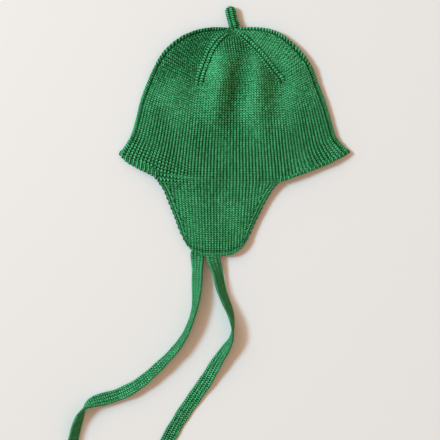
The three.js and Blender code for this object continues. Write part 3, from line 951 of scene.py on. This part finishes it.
@dataclass
class Ridge:
    """A raised double cord of slanted stitches along a decrease line.

    Attributes:
        line: 1 for the left line, 2 for the right one.
        layer: the layer whose outside it lies on.
        half_width: of the two cords together.
        rise: height of the cords.
        stitch_length: of one stitch along the cords.
        across: points across the ridge.
        slant: how far a stitch leans across a cord, in stitches.
        rows: mesh rings along the ridge.
        most_of_panel: the widest that one side may be, as a share of its panel.
        root: how far the ridge reaches into the wall.
        beat: how much each stitch rises, as a share.
        fade: length over which the ends flatten.
        painted_groove_shade: painted shade in the groove between the cords and on the sides.
    """

    line: int
    layer: Layer
    half_width: float = RIDGE_SHOULDER + 1.2
    rise: float = 2.0
    stitch_length: float = 2.8
    across: int = 25
    slant: float = 0.45
    rows: int = 110
    most_of_panel: float = 0.3
    root: float = 0.7
    beat: float = 0.08
    fade: float = 5.0
    painted_groove_shade: float = 0.8

    def build(self) -> bpy.types.Object:
        """The ridge as one closed piece."""
        course = np.linspace(RIDGE_START - 0.05, RIDGE_END, self.rows)
        widths = panel_widths(course)
        away = 1.0 if self.layer is Layer.NEAR else -1.0
        share = np.linspace(-1, 1, self.across)
        left, right = (
            np.minimum(self.half_width, widths[:, k] * self.most_of_panel) / widths[:, k]
            for k in (self.line - 1, self.line)
        )
        column = self.line + np.where(share < 0, share * left[:, None], share * right[:, None])
        base = fabric(course, column, self.layer)
        middle = fabric(course, np.full((len(course), 1), float(self.line)), self.layer)[:, 0]
        along = np.concatenate([[0], np.cumsum(np.linalg.norm(np.diff(middle, axis=0), axis=1))])
        stitch = along / self.stitch_length
        wide = np.abs(share)
        cords = np.sqrt(np.maximum(1 - ((wide - 0.5) / 0.47) ** 2, 0))
        leaning = stitch[:, None] + self.slant * np.sign(share) * (wide - 0.46)
        beat = 1 - self.beat + self.beat * np.cos(2 * math.pi * leaning)
        ends = ramp(np.minimum(along, along[-1] - along), 0, self.fade)
        height = self.rise * cords[None, :] * beat * (0.25 + 0.75 * ends[:, None])
        top = base + np.array([0, 0, away]) * height[..., None]
        under = base - np.array([0, 0, away]) * self.root
        rings = np.concatenate([top, under[:, ::-1]], 1)
        rings[..., 2] = np.maximum(rings[..., 2], TABLE_CLEARANCE)
        # Painted shade in the groove and on the sides, full on the part sunk into the wall.
        depth = 1 - cords[None, :] * (0.96 + 0.04 * np.cos(2 * math.pi * leaning))
        depth = np.concatenate([depth, np.ones_like(depth)], 1) * self.painted_groove_shade
        tone = np.tile(waves(along, 0 * along, 5, SEED + self.line)[:, None], (1, rings.shape[1]))
        wale = np.concatenate([share * 1.1 + 0.5, share[::-1] * 1.1 + 0.5, [-0.6]])
        name = f"{self.layer.value}_{'left' if self.line == 1 else 'right'}_ridge"
        piece = make_piece(f"corded_{name}", Knitting(rings, wale, stitch, depth, tone), Ends.POLES)
        return dress(piece, EDGE, name)


# ------------------------------------------------------------------ ear flaps


@dataclass
class EarFlap:
    """One ear flap: the brim's ribs run on down it, cut off by a band along each side, to a bumpy hem.

    Attributes:
        layer: the near flap or the far one.
        per_wale: mesh columns to a rib.
        band: width of the band of two ribs along each side.
        root_depth: depth of the ribs where the flap leaves the brim.
        rib_depth: in the flap's middle.
        hem_depth: over its last courses.
        hem_height: of those courses.
        narrowing: width of a rib at the hem, as a share of its width at the root.
        course_height: of its stitches.
        mark_length: from one lifted stitch along a band to the next.
        edge_radius: of the round side edges.
        cap_turns: degrees of turn of the rings that round the hem.
        side_turns: the same of the columns that round a side.
        uneven: unevenness of the ribs' depth, as a share.
        scallop: height of the small scallops on the sides.
        mark_place: from the side to the row of lifted stitches.
        mark_height: of a lifted stitch.
        hole_place: from the side to the small holes between them.
        hole_depth: of a hole.
        groove_place: from the hem's end to the groove under its cast-off edge.
        groove_depth: of that groove.
    """

    layer: Layer
    per_wale: int = 7
    band: float = 6.6
    root_depth: float = 1.25
    rib_depth: float = 0.95
    hem_depth: float = 1.1
    hem_height: float = 12.0
    narrowing: float = 0.86
    course_height: float = 2.25
    mark_length: float = 6.4
    edge_radius: float = 0.95
    cap_turns: tuple = (30, 60, 84)
    side_turns: tuple = (45, 0, -45)
    uneven: float = 0.32
    scallop: float = 0.6
    mark_place: float = 5.2
    mark_height: float = 0.6
    hole_place: float = 6.9
    hole_depth: float = 0.5
    groove_place: float = 3.8
    groove_depth: float = 0.5

    def build(self) -> bpy.types.Object:
        """The flap as one closed piece."""
        near = self.layer is Layer.NEAR
        inset = 0.0 if near else FAR_FLAP_INSET
        wales = Wales()
        root_course = np.array([HEM_COURSE - COURSE_GAP / 8])
        widths = panel_widths(root_course)
        every = np.arange(1, wales.total, 1 / 16)
        ends = np.interp([FLAP_LEFT, FLAP_RIGHT], wales.columns(every, widths)[0], every)
        marks = np.linspace(ends[0], ends[1], int((ends[1] - ends[0]) * self.per_wale))
        root = fabric(root_course, wales.columns(marks, widths), self.layer)
        if not near:
            root[..., 2] += WALL
        shares = (root[0, :, 0] - root[0, 0, 0]) / (root[0, -1, 0] - root[0, 0, 0])
        place = np.linspace(0, len(FLAP) - 1, int(64 / self.course_height * (3 if near else 1)))
        table = catmull(FLAP, place)
        width = table[:, 2:3] - table[:, 0:1]
        share = inset / width + shares * (1 - 2 * inset / width)
        drop = table[:, 4:5] * (1 - np.abs(2 * share - 1) ** 3.2)
        shorter = inset * table[:, 4:5] / FLAP[-1, 4]
        x = table[:, 0:1] + width * share
        y = table[:, 1:2] + (table[:, 3:4] - table[:, 1:2]) * share - drop + shorter
        edge = np.minimum(share, 1 - share) * width
        droop = FLAP_DROOP * table[:, 5:6] * np.exp(-edge / FLAP_DROOP_REACH)
        top = table[:, 6:7] - droop if near else np.full_like(x, WALL)
        surface = np.concatenate([root, np.stack([x, y, top], -1)])
        edge = np.concatenate([edge[:1], edge])
        narrow = np.concatenate([[1.0], 1 + (self.narrowing - 1) * place / place[-1]])[:, None]
        middle = (root[0, 0, 0] + root[0, -1, 0]) / 2
        wale = np.interp(middle + (surface[..., 0] - middle) / narrow, root[0, :, 0], marks)
        return self._close(surface, *self._relief(surface, wale, edge), wale)

    def _along(self, surface: Grid) -> Grid:
        """Length down the flap's middle at each ring."""
        middle = surface[:, surface.shape[1] // 2]
        return np.concatenate([[0], np.cumsum(np.linalg.norm(np.diff(middle, axis=0), axis=1))])

    def _relief(self, surface: Grid, wale: Grid, edge: Grid) -> tuple:
        """Relief of the ribs, the side bands with their lifted stitches, and the hem.

        Args:
            surface: the smooth upper face.
            wale: rib numbers on it.
            edge: distance of each point from the nearer side.

        Returns:
            Height over the smooth face, painted shade of the troughs, groove and holes, and tone of the yarn
            with a painted highlight on the lifted stitches.
        """
        x, y = surface[..., 0], surface[..., 1]
        along = self._along(surface)[:, None]
        from_bottom = along[-1] - along
        count = along / self.course_height
        in_hem = 1 - ramp(from_bottom, self.hem_height - 4, self.hem_height + 1)
        banded = (1 - ramp(edge, self.band - 0.5, self.band + 0.1)) * ramp(along, 1, 7)
        crest = rib(wale) * (1 - banded) + rib((edge / self.band) * 2 - 0.5, 0.8) * banded
        near_root = 1 - ramp(along, 4, 24)
        depth = self.rib_depth + (self.hem_depth - self.rib_depth) * in_hem
        depth = depth + (self.root_depth - depth) * near_root
        depth = depth * (1 + self.uneven * waves(x, y * 0.35, 23, SEED))
        rng = np.random.default_rng(SEED + 8)
        yarn = rng.normal(0, 1, (90, 60))
        stitch = yarn[np.round(wale).astype(int), np.floor(count + 0.25).astype(int)]
        beat = np.cos(2 * math.pi * count) * (0.35 + 0.65 * crest)
        relief = depth * (crest - 1) + 0.15 * beat + 0.14 * stitch * crest
        lifted = np.cos(math.pi * (along + 1.5 * np.sign(x)) / self.mark_length) ** 4
        plain = ramp(along, 2, 8) * (1 - in_hem)
        mark = bell(edge, self.mark_place, 1.4) * lifted * plain
        hole = bell(edge, self.hole_place, 0.9) * (1 - lifted) ** 4 * plain
        relief = relief + self.mark_height * mark - self.hole_depth * hole
        cast_off = 1 - ramp(from_bottom, 2.0, 3.4)
        lip = cast_off * (0.3 + 0.35 * np.cos(2 * math.pi * wale))
        groove = bell(from_bottom, self.groove_place, 0.8)
        relief = relief * (1 - 0.8 * cast_off) + lip - 0.1 - self.groove_depth * groove
        # Painted shade in the troughs, the groove under the cast-off edge and the holes, and a painted
        # highlight on the lifted stitches.
        shade = (1 - crest) * np.clip(depth / PAINTED_SHADE_FULL_DEPTH, 0, PAINTED_SHADE_FULL_DEPTH) * (1 - 0.7 * cast_off)
        shade = np.clip(shade + 0.35 * groove - 0.4 * mark + 0.7 * hole, 0, 1)
        return relief, shade, np.clip(stitch, -STITCH_TONES, STITCH_TONES) + 2.2 * mark

    def _close(self, surface: Grid, relief: Grid, depth: Grid, tone: Grid, wale: Grid) -> bpy.types.Object:
        """Closes the flap with its under face and round edges.

        Args:
            surface: the smooth upper face.
            relief: height of the stitches over it.
            depth: painted shade of the troughs.
            tone: of the yarn.
            wale: rib numbers.

        Returns:
            The finished piece.
        """
        near = self.layer is Layer.NEAR
        top, under = surface.copy(), surface.copy()
        top[..., 2] += relief if near else -0.2
        under[..., 2] -= WALL - (0.25 if near else 0) + (0 if near else relief)
        right, left = self._side(surface[:, -1], 1.0), self._side(surface[:, 0], -1.0)[:, ::-1]
        rings = np.concatenate([top, right, under[:, ::-1], left], 1)
        last = surface[-1, :, 2]
        centre = rings[-1].copy()
        centre[:, 2] = np.concatenate([last, last[-1:].repeat(3), last[::-1], last[:1].repeat(3)]) - WALL / 2
        lumps = 0.45 * np.cos(2 * math.pi * wale[-1])
        lumps = np.concatenate([lumps, np.zeros(3), lumps[::-1], np.zeros(3)])
        caps = []
        for angle in np.radians(self.cap_turns):
            ring = centre + (rings[-1] - centre) * math.cos(angle)
            ring[:, 1] -= (1.1 + lumps) * math.sin(angle)
            caps.append(ring)
        rings = np.concatenate([rings, np.array(caps)])
        rings[..., 2] = np.maximum(rings[..., 2], TABLE_CLEARANCE)
        # Middling painted shade on the round sides and the under face.
        fill = np.full((len(surface), 3), 0.25)
        depth = np.concatenate([depth, fill, 0.3 + 0 * depth if near else depth[:, ::-1], fill], 1)
        tone = np.concatenate([tone, 0 * fill, 0 * tone, 0 * fill], 1)
        step = np.array([0.2, 0.4, 0.6])
        end, start = wale[:, -1:], wale[:, :1]
        back = 2 * end + 0.8 - wale[:, ::-1]
        close = back[:, -1:] + 0.8 + 0 * start
        around = np.concatenate([wale, end + step, back, back[:, -1:] + step, close], 1)
        depth, tone, around = (np.concatenate([a, np.repeat(a[-1:], 3, 0)]) for a in (depth, tone, around))
        course = self._along(surface) / self.course_height
        course = np.append(course, course[-1] + np.array([0.3, 0.6, 0.9]))
        name = f"{self.layer.value}_ear_flap"
        piece = make_piece(f"knit_{name}", Knitting(rings, around, course, depth, tone), Ends.POLES)
        return dress(piece, RIBBED, name)

    def _side(self, edge: Grid, sign: float) -> Grid:
        """Three columns that round a side edge, with its small scallops."""
        scallop = self.scallop * np.cos(2 * math.pi * np.arange(len(edge)) / 6.8)
        columns = []
        for turn in np.radians(self.side_turns):
            point = edge.copy()
            point[:, 0] += sign * (self.edge_radius * math.cos(turn) - 0.6 + scallop)
            point[:, 2] += -WALL / 2 + self.edge_radius * math.sin(turn)
            columns.append(point)
        return np.stack(columns, 1)


# ------------------------------------------------------------------ stem and ties along their routes


@dataclass
class Route:
    """A centripetal curve through a given route on the table, with the roll of what follows it.

    Attributes:
        table: x, y, lift and roll of each point.
        half_width: of what lies on it.
        half_thickness: of what lies on it.
    """

    table: Grid
    half_width: float
    half_thickness: float

    def frames(self, count: int) -> tuple:
        """Places along the route, evenly spaced.

        Args:
            count: how many.

        Returns:
            Centres, directions across, directions over, and the length walked.
        """
        last = len(self.table) - 1
        fine = np.linspace(0, last, last * 60 + 1)
        line = self._points(fine)
        walked = np.concatenate([[0], np.cumsum(np.linalg.norm(np.diff(line, axis=0), axis=1))])
        even = np.linspace(0, walked[-1], count)
        t = np.interp(even, walked, fine)
        centre = self._points(t)
        tangent = np.gradient(centre, axis=0)
        tangent /= np.linalg.norm(tangent, axis=1, keepdims=True)
        across = np.cross(np.array([0.0, 0.0, 1.0]), tangent)
        across /= np.linalg.norm(across, axis=1, keepdims=True)
        roll = np.radians(catmull(self.table, t)[:, 3:4])
        across = across * np.cos(roll) + np.cross(tangent, across) * np.sin(roll)
        return centre, across, np.cross(tangent, across), even

    def _points(self, t: Grid) -> Grid:
        """Points of the curve at places given in route points."""
        roll = np.radians(self.table[:, 3])
        lying = self.half_width * np.abs(np.sin(roll)) + self.half_thickness * np.abs(np.cos(roll))
        points = np.column_stack([self.table[:, :2], lying + self.table[:, 2] + 0.1])
        points = np.vstack([2 * points[0] - points[1], points, 2 * points[-1] - points[-2]])
        step = np.minimum(np.floor(t).astype(int), len(self.table) - 2)
        u = (t - step)[:, None]
        p0, p1, p2, p3 = (points[step + k] for k in range(4))
        pairs = ((p0, p1), (p1, p2), (p2, p3))
        d0, d1, d2 = (np.linalg.norm(b - a, axis=1, keepdims=True) ** 0.5 for a, b in pairs)
        t1 = ((p1 - p0) / d0 - (p2 - p0) / (d0 + d1) + (p2 - p1) / d1) * d1
        t2 = ((p2 - p1) / d1 - (p3 - p1) / (d1 + d2) + (p3 - p2) / d2) * d1
        return p1 + t1 * u + (3 * (p2 - p1) - 2 * t1 - t2) * u**2 + (2 * (p1 - p2) + t1 + t2) * u**3


@dataclass
class Tie:
    """A long flat ribbed tie, four ribs wide on both faces.

    Attributes:
        name: the CAD node.
        route: its route's table.
        knitted_in: the route's point inside the flap.
        rib_depth: of the grooves between its ribs.
        wales: ribs across one face.
        course_height: of its stitches.
        face_points: mesh points across one face.
        edge_points: mesh points round one edge.
        beat: height of single stitches.
        loose: their unevenness.
        edge_beat: how far they stand out along the edges.
    """

    name: str
    route: Grid
    knitted_in: tuple
    rib_depth: float = 0.5
    wales: int = 4
    course_height: float = 2.3
    face_points: int = 33
    edge_points: int = 5
    beat: float = 0.11
    loose: float = 0.06
    edge_beat: float = 0.16

    def build(self) -> bpy.types.Object:
        """The tie as one closed flat cord."""
        line = Route(np.vstack([self.knitted_in, self.route]), TIE_WIDTH / 2, TIE_THICKNESS / 2)
        length = line.frames(400)[3][-1]
        rows = int(length / self.course_height * 2)
        centre, across, over, walked = line.frames(rows)
        side, up, wale, crest = self._section()
        count = walked / self.course_height
        wobble = 1 + 0.035 * waves(walked, 0 * walked, 17, SEED + len(self.name))
        rng = np.random.default_rng(SEED + len(self.name))
        yarn = rng.normal(0, 1, (12, int(count[-1]) + 3))
        stitch = yarn[
            np.round(wale[:-1]).astype(int)[None, :] % 12,
            np.floor(count + 0.25).astype(int)[:, None],
        ]
        groove = self.rib_depth * (1 + 0.25 * waves(walked[:, None], 6.0 * wale[None, :-1], 21, SEED + 9))
        beat = np.cos(2 * math.pi * count)[:, None]
        push = groove * (crest - 1) + self.beat * beat * crest + self.loose * stitch * crest + 0.12
        side_all = side[None, :] * wobble[:, None]
        up_all = up[None, :] + np.sign(up)[None, :] * push * (np.abs(up) > TIE_THICKNESS * 0.3)
        edge_beat = self.edge_beat * beat * (np.abs(side) > TIE_WIDTH * 0.44)
        side_all = side_all + np.sign(side)[None, :] * edge_beat
        taper = np.minimum(1, 0.5 + 0.25 * np.minimum(np.arange(rows), np.arange(rows)[::-1]))[:, None]
        rings = (
            centre[:, None]
            + across[:, None] * (side_all * (0.85 + 0.15 * taper))[..., None]
            + over[:, None] * (up_all * taper)[..., None]
        )
        rings[..., 2] = np.maximum(rings[..., 2], TABLE_CLEARANCE)
        # Painted shade in the grooves between the ribs.
        depth = np.clip((1 - crest)[None, :] * np.ones_like(side_all), 0, 1)
        tone = np.clip(stitch, -STITCH_TONES, STITCH_TONES)
        piece = make_piece(f"knit_{self.name}", Knitting(rings, wale, count, depth, tone), Ends.POLES)
        dress(piece, TAPE, self.name)
        return piece

    def _section(self) -> tuple:
        """Points round the tie's section.

        Returns:
            Places across and over, wale numbers with one more to close, and the ribs' height.
        """
        half, radius = TIE_WIDTH / 2, TIE_THICKNESS / 2
        face = np.linspace(-half + radius * 0.6, half - radius * 0.6, self.face_points)
        turn = np.linspace(math.pi / 2, -math.pi / 2, self.edge_points + 2)[1:-1]
        right_side = half - radius + radius * np.cos(turn)
        right_up = radius * np.sin(turn)
        side = np.concatenate([face, right_side, face[::-1], -right_side])
        up = np.concatenate([np.full(len(face), radius), right_up, np.full(len(face), -radius), -right_up])
        pitch = TIE_WIDTH / self.wales
        crest_face = np.abs(np.sin(math.pi * face / pitch)) ** 0.6
        ones = np.ones(len(turn))
        crest = np.concatenate([crest_face, ones * crest_face[-1], crest_face[::-1], ones * crest_face[0]])
        across = face / pitch + self.wales / 2 - 0.5
        edge = across[-1] + np.linspace(0.1, 0.9, len(turn))
        back = across[-1] + 1 + (across - across[0])
        last = back[-1] + np.linspace(0.1, 0.9, len(turn))
        wale = np.concatenate([across, edge, back, last, [back[-1] + 1]])
        return side, up, wale, crest


@dataclass
class Stem:
    """The knitted stalk: a round cord of a few ribs with a closed tip.

    Attributes:
        ribs: round it.
        around: mesh points round it.
        rows: mesh rings along it.
        rib_depth: of the grooves between its ribs.
        course_height: of its stitches.
        beat: height of single stitches.
        turned: ribs that the first one is turned round the stem.
        tip: where its tip begins, as a share of it.
    """

    ribs: int = 6
    around: int = 60
    rows: int = 44
    rib_depth: float = 1.3
    course_height: float = 2.1
    beat: float = 0.1
    turned: float = 0.62
    tip: float = 0.86

    def build(self) -> bpy.types.Object:
        """The stem as one closed piece."""
        line = Route(np.vstack([STEM_END, STEM_ROUTE]), 0.0, STEM_HALF_WIDTH * STEM_FLATTENING)
        length = STEM[-1, 0]
        centre, across, over, _ = line.frames(self.rows)
        share = np.linspace(0, 1, self.rows)
        radius = np.interp(share * length, STEM[:, 0], STEM[:, 1])
        radius = np.convolve(np.pad(radius, 1, mode="edge"), [0.2, 0.6, 0.2], "valid")
        turn = np.linspace(0, 2 * math.pi, self.around, endpoint=False)
        wale = self.ribs * turn / (2 * math.pi)
        crest = rib(wale - self.turned, 0.7)
        count = share * length / self.course_height
        fade = 1 - ramp(share, self.tip, 1.0)
        push = self.rib_depth * (crest[None, :] - 1) * fade[:, None]
        push = push + self.beat * np.cos(2 * math.pi * (count[:, None] + 0.3 * crest[None, :])) * fade[:, None]
        size = np.maximum(radius[:, None] + push + 0.25, 0.25)
        rings = (
            centre[:, None]
            + across[:, None] * (size * np.cos(turn))[..., None]
            + over[:, None] * (size * np.sin(turn) * STEM_FLATTENING)[..., None]
        )
        rings[..., 2] = np.maximum(rings[..., 2], TABLE_CLEARANCE)
        # Painted shade in the grooves between the ribs, fading at the tip.
        depth = np.clip((1 - crest[None, :]) * 1.1 * fade[:, None], 0, 1)
        tone = waves(turn[None, :] * 3, count[:, None] * 2, 4, SEED + 21)
        knit = Knitting(rings, np.append(wale, self.ribs) - self.turned, count, depth, tone)
        return dress(make_piece("knit_stem", knit, Ends.POLES), EDGE, "stem")


# ------------------------------------------------------------------ camera, floor and light


@dataclass
class Studio:
    """A pale table seen from straight above, in soft light from the left.

    Attributes:
        centre: what the camera looks at, on the table.
        view_width: of the table seen.
        distance: of the camera over the table.
        sensor: width of the camera's sensor.
        sun_elevation: degrees over the table.
        sun_turn: degrees that it is turned towards the flaps.
        sun_softness: degrees that it looks wide.
        sun_power: its strength.
        sun_colour: its cool light.
        sky_colour: the warm light from all sides.
        sky_power: its strength.
        lamp_place: where the side lamp stands.
        lamp_size: its width.
        lamp_power: its strength.
        floor_colour: of the table.
    """

    centre: tuple = (-14.5, -89.0)
    view_width: float = 440.0
    distance: float = 1300.0
    sensor: float = 36.0
    sun_elevation: float = 40.0
    sun_turn: float = 9.0
    sun_softness: float = 13.0
    sun_power: float = 2.72
    sun_colour: tuple = (0.48, 0.83, 1.0)
    sky_colour: tuple = (1.0, 0.65, 0.44)
    sky_power: float = 0.67
    lamp_place: tuple = (-900.0, 500.0, 900.0)
    lamp_size: float = 700.0
    lamp_power: float = 4.4
    floor_colour: tuple = (0.764, 0.763, 0.768)

    def camera(self) -> None:
        """The camera, looking straight down."""
        camera = bpy.data.cameras.new("overhead")
        camera.sensor_width = self.sensor
        camera.lens = self.sensor * self.distance / self.view_width
        camera.clip_end = 20
        holder = bpy.data.objects.new("overhead", camera)
        holder.location = (self.centre[0] * MM, self.centre[1] * MM, self.distance * MM)
        bpy.context.scene.collection.objects.link(holder)
        bpy.context.scene.camera = holder

    def floor(self) -> None:
        """A large pale table top."""
        bpy.ops.object.select_all(action="DESELECT")
        bpy.ops.mesh.primitive_plane_add(size=6, location=(0, 0, -0.00005))
        floor = bpy.context.object
        floor.name = "table_top"
        material = bpy.data.materials.new("matt_paint")
        material.use_nodes = True
        shader = material.node_tree.nodes["Principled BSDF"]
        shader.inputs["Base Color"].default_value = (*self.floor_colour, 1)
        shader.inputs["Roughness"].default_value = 0.9
        shader.inputs["Specular IOR Level"].default_value = 0.1
        floor.data.materials.append(material)

    def light(self) -> None:
        """A soft sun from the left and a warm, even sky."""
        sun = bpy.data.lights.new("window", "SUN")
        sun.energy = self.sun_power
        sun.angle = math.radians(self.sun_softness)
        sun.color = self.sun_colour
        holder = bpy.data.objects.new("window", sun)
        holder.rotation_euler = (0, -math.radians(90 - self.sun_elevation), -math.radians(self.sun_turn))
        bpy.context.scene.collection.objects.link(holder)
        lamp = bpy.data.lights.new("side_lamp", "AREA")
        lamp.energy = self.lamp_power
        lamp.size = self.lamp_size * MM
        stand = bpy.data.objects.new("side_lamp", lamp)
        stand.location = Vector(self.lamp_place) * MM
        stand.rotation_euler = (-stand.location).to_track_quat("-Z", "Y").to_euler()
        bpy.context.scene.collection.objects.link(stand)
        world = bpy.data.worlds.new("room")
        world.use_nodes = True
        sky = world.node_tree.nodes["Background"]
        sky.inputs["Color"].default_value = (*self.sky_colour, 1)
        sky.inputs["Strength"].default_value = self.sky_power
        bpy.context.scene.world = world
        bpy.context.scene.view_settings.view_transform = "Standard"


def main() -> None:
    """Builds the bonnet and its studio, in order."""
    logging.basicConfig(level=logging.INFO, format="%(name)s: %(message)s")
    studio = Studio()
    studio.camera()
    Tie("near_tie", NEAR_TIE, NEAR_TIE_END).build()
    Tie("far_tie", FAR_TIE, FAR_TIE_END).build()
    body = Body()
    body.crown()
    body.brim()
    for is_left in (True, False):
        Hem(is_left).build()
    for layer in Layer:
        for line in (1, 2):
            Ridge(line, layer).build()
    EarFlap(Layer.NEAR).build()
    EarFlap(Layer.FAR, per_wale=4).build()
    Stem().build()
    studio.floor()
    studio.light()


if __name__ == "__main__":
    main()
